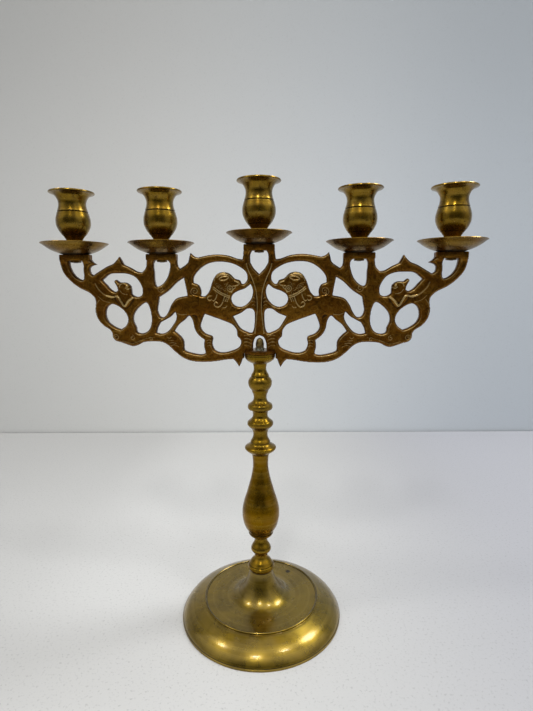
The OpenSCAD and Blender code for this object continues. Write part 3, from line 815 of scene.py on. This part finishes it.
NUT_FACE, NUT_LEAD = 0.96, 0.3  # a nut's face over its flats, and the chamfer of its bore
THREAD_DEPTH, ROD_LEAD, ROD_SIDES, STEPS_PER_TURN = 0.54, 0.6, 32, 8
PLATE_SIDES = 144


def hex_nut(name, node, flats, bore, material, body):
    """A hexagon nut with its corners chamfered on both faces, in place of the CAD node."""
    low, high = (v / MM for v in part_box(node))
    flat_r = flats / 2
    face_r = NUT_FACE * flat_r
    lead = NUT_LEAD
    slope = math.tan(math.radians(30))

    def reach(turn):
        return flat_r / np.cos((turn + math.pi / 6) % (math.pi / 3) - math.pi / 6)

    def drop(turn):
        return (reach(turn) - face_r) * slope

    rings = [(bore, low.z + lead), (bore, high.z - lead), (bore + lead, high.z), (face_r, high.z)]
    rings += [(reach, lambda turn: high.z - drop(turn)), (reach, lambda turn: low.z + drop(turn))]
    rings += [(face_r, low.z), (bore + lead, low.z)]
    made = around(name, rings[::-1], middle(node), material, body)
    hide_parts(node)


def threaded_rod(name, node, major, pitch, spans, material, body):
    """A rod with a real helical thread over each span of heights, in place of the CAD node."""
    low, high = (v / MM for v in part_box(node))
    depth = THREAD_DEPTH * pitch
    lead = ROD_LEAD
    steps = [low.z, low.z + lead]
    for start, end in spans:
        inner = max(start, low.z + lead), min(end, high.z - lead)
        steps += list(np.arange(*inner, pitch / STEPS_PER_TURN))
    steps = sorted(set(np.round(steps + [high.z - lead, high.z], 4)))

    def radius(height):
        inside_span = max(ease(min(height - a, b - height) / pitch) for a, b in spans)
        taper = max(0.0, lead - min(height - low.z, high.z - height))

        def at(turn):
            wave = np.abs((height / pitch - turn / (2 * math.pi)) % 1.0 - 0.5) * 2
            return major - depth * inside_span * ease(1.25 * wave - 0.1) - taper * 0.9
        return at

    rings = [(radius(h), h) for h in steps]
    made = around(name, rings, middle(node), material, body, ROD_SIDES, closed=False, sharp=None)
    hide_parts(node)


def lug_reach(turn):
    """Outline of a lug seen from above: a bar with slightly rounded corners."""
    c, d = np.abs(np.cos(turn)), np.abs(np.sin(turn))
    straight = np.minimum(LUG_W / 2 / np.maximum(c, 1e-9), LUG_D / 2 / np.maximum(d, 1e-9))
    corner_x, corner_y = LUG_W / 2 - LUG_CORNER, LUG_D / 2 - LUG_CORNER
    along = corner_x * c + corner_y * d
    off = corner_x * d - corner_y * c
    rounded = along + np.sqrt(np.maximum(LUG_CORNER**2 - off**2, 0))
    return np.where(np.abs(off) < LUG_CORNER, np.minimum(straight, rounded), straight)


def foot_reach(turn):
    return np.full(turn.shape, FOOT_R)


def collared(outline, inset, bore, low, high):
    """Rings of a flat plate with rounded edges and a bore."""
    near = inset * (1 - math.sqrt(0.5))
    steps = [(0, high - inset), (near, high - near), (inset, high)]
    rings = [(bore, low), (bore, high)]
    rings += [(lambda t, k=k: outline(t) - k, h) for k, h in steps[::-1]]
    rings += [(lambda t, k=k: outline(t) - k, low + high - h) for k, h in steps]
    return rings[::-1]


# ---------------------------------------------------------------- stage, light and camera

CAMERA_AT = (0.02951, -0.42227, 0.32351)
TURN, DOWN, ROLL = 3.165, 8.525, -0.225
FOCAL = 458.75
FRAME_LONG_SIDE = 711
SENSOR = 36.0
WALL_AWAY = 0.995
FLOOR_DEEP, HALF_WIDTH = 3.4, 3.0
WALL_BELOW, WALL_ABOVE, WALL_GAP = -0.05, 2.6, 0.004

# Paint and painted light: colour, (colour, start, end) of a painted change of the light's tint along x, how
# dark the speckles are and how many to the metre, (x, y, reach, far, near) of a painted round pool of light,
# and (axis, start, end, loss) of each painted even fall-off of light along an axis.
FLOOR_PAINT_AND_LIGHT = ((0.735, 0.73, 0.72), ((0.735, 0.737, 0.792), 0.0, 0.4), 0.22, 420.0,
               (-0.12, 0.05, 0.55, 0.76, 0.92), ((0, -0.05, 0.30, 0.20), (0, -0.15, -0.3, 0.10)))
WALL_PAINT_AND_LIGHT = ((0.74, 0.745, 0.735), ((0.74, 0.80, 0.86), -0.4, 0.6), 0.05, 300.0,
              (-0.14, 0.57, 0.62, 0.98, 1.20), ((2, 0.35, 1.0, 0.37), (0, 0.1, 0.6, 0.13)))

# Lamps: name, place, diameter, watts and colour, all facing the same point
LAMPS_FACE = (0, 0, 0.1)
LAMPS = (
    ("ceiling_left", (-1.34, -0.31, 2.0), 0.28, 6.0, (1.0, 0.98, 0.94)),
    ("ceiling_front", (-0.14, -1.22, 2.0), 0.28, 7.5, (1.0, 0.98, 0.95)),
    ("ceiling_middle", (0.79, -0.52, 2.0), 0.24, 4.5, (1.0, 1.0, 1.0)),
    ("skylight_right", (1.52, 0.39, 2.0), 0.66, 21.0, (0.96, 0.985, 1.0)),
)

# The room: brightness from the horizon to the ceiling, dimmed in front, where it is mirrored by the brass
ROOM_COLOUR = (0.98, 0.985, 0.975, 1.0)
DARK_ROOM, BRIGHT_CEILING, FRONT_SHADE = 0.26, 0.95, 0.15
RISE = (2, (-0.05, 0.75, DARK_ROOM, BRIGHT_CEILING))
FRONT = (1, (-0.45, -0.9, 1.0, FRONT_SHADE))


def plain_sheet(name, corners, material):
    mesh = bpy.data.meshes.new(name)
    mesh.from_pydata(corners, [], [(0, 1, 2, 3)])
    mesh.materials.append(material)
    made = bpy.data.objects.new(name, mesh)
    bpy.context.scene.collection.objects.link(made)


def painted(name, colour, tint, speckle, scale, glow, shade_fadings):
    """Pale paint with faint speckles, and painted light over it: a round pool of light, fall-offs of light
    along the axes and a change of the light's tint along x; see the tables of paint for the numbers.
    """
    g = Graph(name)
    x, y, z = g.axes()
    spots = g.noise(scale, 3.0, 0.6)
    # Painted light: a round pool of light, then painted shade falling off along the axes
    glow_x, glow_y, reach, far, near = glow
    gain = g.span(g.axis_distance(x, y, glow_x, glow_y), reach, 0.0, far, near)
    for axis, start, end, loss in shade_fadings:
        gain = g.times(gain, g.span((x, y, z)[axis], start, end, 1.0, 1.0 - loss))
    gain = g.times(gain, g.span(spots, 0.55, 0.72, 1.0, 1.0 - speckle))
    shade = g.node("ShaderNodeVectorMath", operation="SCALE")
    # Painted change of the light's tint along x
    tint_colour, start, end = tint
    g.link(g.mix(g.span(x, start, end), colour, tint_colour), shade.inputs[0])
    g.link(gain, shade.inputs["Scale"])
    return g.surface({
        "Base Color": shade.outputs[0],
        "Roughness": 0.75,
        "Normal": g.bump(spots, 0.0003, 0.25),
    })


def backdrop():
    """A floor and a wall square to the camera, which meet at the height that the photograph shows."""
    forward = Vector((-math.sin(math.radians(TURN)), math.cos(math.radians(TURN)), 0))
    sideways = Vector((forward.y, -forward.x, 0)) * HALF_WIDTH
    far = Vector((CAMERA_AT[0], CAMERA_AT[1], 0)) + forward * WALL_AWAY
    near = far - forward * FLOOR_DEEP
    floor = painted("stage_floor_paint_and_light", *FLOOR_PAINT_AND_LIGHT)
    wall = painted("stage_wall_paint_and_light", *WALL_PAINT_AND_LIGHT)
    plain_sheet("stage_floor", [near - sideways, near + sideways, far + sideways, far - sideways], floor)
    foot = far + forward * WALL_GAP + Vector((0, 0, WALL_BELOW))
    head = far + forward * WALL_GAP + Vector((0, 0, WALL_ABOVE))
    plain_sheet("stage_wall", [foot - sideways, foot + sideways, head + sideways, head - sideways], wall)


def area_light(name, place, size, power, colour):
    data = bpy.data.lights.new(name, "AREA")
    data.shape = "DISK"
    data.size = size
    data.energy = power
    data.color = colour
    lamp = bpy.data.objects.new(name, data)
    lamp.location = place
    lamp.rotation_euler = (Vector(LAMPS_FACE) - Vector(place)).to_track_quat("-Z", "Y").to_euler()
    bpy.context.scene.collection.objects.link(lamp)


def room():
    world = bpy.data.worlds.new("room")
    bpy.context.scene.world = world
    world.use_nodes = True
    tree = world.node_tree
    tree.nodes.clear()
    sky = tree.nodes.new("ShaderNodeBackground")
    direction = tree.nodes.new("ShaderNodeTexCoord")
    parts = tree.nodes.new("ShaderNodeSeparateXYZ")
    tree.links.new(direction.outputs["Generated"], parts.inputs[0])
    both = tree.nodes.new("ShaderNodeMath")
    both.operation = "MULTIPLY"
    for factor, (axis, numbers) in zip(both.inputs, (RISE, FRONT)):
        made = tree.nodes.new("ShaderNodeMapRange")
        made.interpolation_type = "SMOOTHSTEP"
        tree.links.new(parts.outputs[axis], made.inputs[0])
        for socket, value in zip(made.inputs[1:5], numbers):
            socket.default_value = value
        tree.links.new(made.outputs[0], factor)
    sky.inputs["Color"].default_value = ROOM_COLOUR
    tree.links.new(both.outputs[0], sky.inputs["Strength"])
    out = tree.nodes.new("ShaderNodeOutputWorld")
    tree.links.new(sky.outputs[0], out.inputs[0])


def photo_camera():
    camera = bpy.data.objects.new("camera", bpy.data.cameras.new("camera"))
    camera.data.sensor_width = SENSOR
    camera.data.lens = SENSOR * FOCAL / FRAME_LONG_SIDE
    camera.location = CAMERA_AT
    turn = Matrix.Rotation(math.radians(TURN), 3, "Z")
    tilt = Matrix.Rotation(math.radians(90 - DOWN), 3, "X")
    roll = Matrix.Rotation(math.radians(ROLL), 3, "Z")
    camera.rotation_euler = (turn @ tilt @ roll).to_euler()
    bpy.context.scene.collection.objects.link(camera)
    bpy.context.scene.camera = camera


# ---------------------------------------------------------------- the object

ABOVE_FOOT = 300
BLOOM_R = 0.0085
LUG_EDGE, FOOT_EDGE = 0.7, 0.6
LOCK_NUT_FLATS, STUD_R, STUD_PITCH = 8.5, 2.5, 0.8
BASE_NUT_FLATS, ROD_R, ROD_PITCH = 10.0, 3.0, 1.0
ROD_THREAD_BELOW, ROD_THREAD_ABOVE = 18, 14
# Dark lines of the turning as (height, half-width), and the base's as (radius, half-width), in mm
STEM_LINES = ((44.9, 0.7), (50.9, 0.5), (69.2, 0.4), (79.2, 0.6), (84.9, 0.5), (165.0, 0.6), (176.8, 0.4),
              (192.5, 0.3), (208.4, 0.3), (227.9, 0.35), (241.0, 0.4), (253.0, 0.4), (260.3, 0.35))
BASE_SEAM = (44.9, 0.6)
BASE_RINGS = ((55.6, 0.4), (54.5, 0.4), (77.9, 0.25))
BASE_STAIN = (26.5, 36.5, 3.4)
# The same over the top of each lug
SOCKET_LINES = ((1.6, 1.2), (17.4, 0.4), (37.7, 0.55))
PAN_LINE = (0.2, 1.4)


def metres(rows, up=0.0):
    """Rows of millimetres as metres, with up added to the first number of each."""
    return [((first + up) * MM, *(v * MM for v in rest)) for first, *rest in rows]


def finish_node(node, material):
    for held in nodes[node].material_slots:
        held.link = "OBJECT"
        held.material = material


def cast_panel(material):
    """The casting between its lugs and its foot disc, in place of the CAD panel."""
    points, data, border, faces = casting_mesh()
    depth = data[:, 0].copy()
    across, up = points[:, 0], points[:, 1]
    where_joined = border & joined(across, up)
    on_lug = where_joined & (up > ABOVE_FOOT)
    on_disc = where_joined & ~on_lug
    up[on_lug] += JOINT_DEPTH
    side_of_disc = on_disc & (up < FOOT_TOP - SLACK)
    across[side_of_disc] -= np.sign(across[side_of_disc]) * JOINT_DEPTH
    up[on_disc & ~side_of_disc] -= JOINT_DEPTH
    n = len(points)
    front = np.stack([across, -depth, up], -1)
    back = np.stack([across, depth, up], -1)
    edges = [edge for ring in faces for edge in zip(ring, ring[1:] + ring[:1])]
    seen = set(edges)
    walls = [(b, a, a + n, b + n) for a, b in edges if (b, a) not in seen]
    faces = faces + [[i + n for i in ring[::-1]] for ring in faces] + walls
    verts = (np.concatenate([front, back]) * MM).tolist()
    made = piece("panel_casting", verts, faces, material, "arms", sharp=None)
    # Layers: worn metal with a painted highlight, and hollows' dirt with painted shade along the outline
    for k, label in ((1, "wear_and_highlight"), (2, "cavity_and_edge_shade")):
        layer = made.data.attributes.new(label, "FLOAT", "POINT")
        layer.data.foreach_set("value", np.tile(data[:, k], 2).astype(np.float32))
    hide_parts("arm_panel")


def panel_ends(lug_material, foot_material):
    for side in SIDES:
        rings = collared(lug_reach, LUG_EDGE, STUD_HOLE_R, LUG_TOPS[side] - LUG_T, LUG_TOPS[side])
        place = middle("drip_pan_" + side)
        around("panel_lug_" + side, rings, place, lug_material, "arms", PLATE_SIDES)
    rings = collared(foot_reach, FOOT_EDGE, ROD_HOLE_R, FOOT_BOTTOM, FOOT_TOP)
    around("panel_foot", rings, (0, 0), foot_material, "arms", PLATE_SIDES)


def fasteners(steel, nut_brass):
    for side in SIDES:
        nut, stud = "lock_nut_" + side, "socket_stud_" + side
        hex_nut("lock_nut_hex_" + side, nut, LOCK_NUT_FLATS, STUD_R, nut_brass, "arms")
        low, high = (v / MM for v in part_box(stud))
        threads = [(low.z, high.z)]
        threaded_rod("threaded_stud_" + side, stud, STUD_R, STUD_PITCH, threads, steel,
                     "socket_" + side)
    hex_nut("base_nut_hex", "base_nut", BASE_NUT_FLATS, ROD_R, steel, "stand")
    low, high = (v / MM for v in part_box("tie_rod"))
    threads = [(low.z, low.z + ROD_THREAD_BELOW), (high.z - ROD_THREAD_ABOVE, high.z)]
    threaded_rod("threaded_tie_rod", "tie_rod", ROD_R, ROD_PITCH, threads, steel, "stand")


def turned_pieces():
    """Materials of the base, the stem, the sockets and the pans, which keep their CAD shapes."""
    base = turned_brass("base_brass", grooves=metres([BASE_SEAM]), rings=metres(BASE_RINGS),
                        stains=metres([BASE_STAIN]), roughness=0.28, grime=0.2, dents=0.15, lacquer=0.6)
    finish_node("base", base)
    lines = metres(STEM_LINES)
    for node, tone in (("stem_lower", HONEY), ("stem_baluster", AMBER), ("stem_upper", HONEY)):
        finish_node(node, turned_brass(node + "_brass", tone=tone, grooves=lines, grime=0.45))
    for side in SIDES:
        axis_x, top = LUG_X[side] * MM, LUG_TOPS[side]
        socket = turned_brass("socket_brass_" + side, axis_x, HONEY, metres(SOCKET_LINES, top),
                              roughness=0.22, grime=0.75, lacquer=0.15)
        finish_node("candle_socket_" + side, socket)
        pan = turned_brass("pan_brass_" + side, axis_x, RUSSET, metres([PAN_LINE], top), grime=0.7)
        finish_node("drip_pan_" + side, pan)


cast = cast_brass("cast_brass_patina")
steel = dull_steel("dull_steel")
nut_brass = turned_brass("nut_brass_patina", tone=BROWN, roughness=0.4)
foot_brass = cast_brass("cast_brass_verdigris", BLOOM_R)
cast_panel(cast)
panel_ends(cast, foot_brass)
fasteners(steel, nut_brass)
turned_pieces()
finish_node("arm_nut", verdigris_brass("verdigris_brass"))
finish_node("base_washer", steel)

bpy.context.scene.view_settings.view_transform = "Standard"
backdrop()
for lamp in LAMPS:
    area_light(*lamp)
room()
photo_camera()
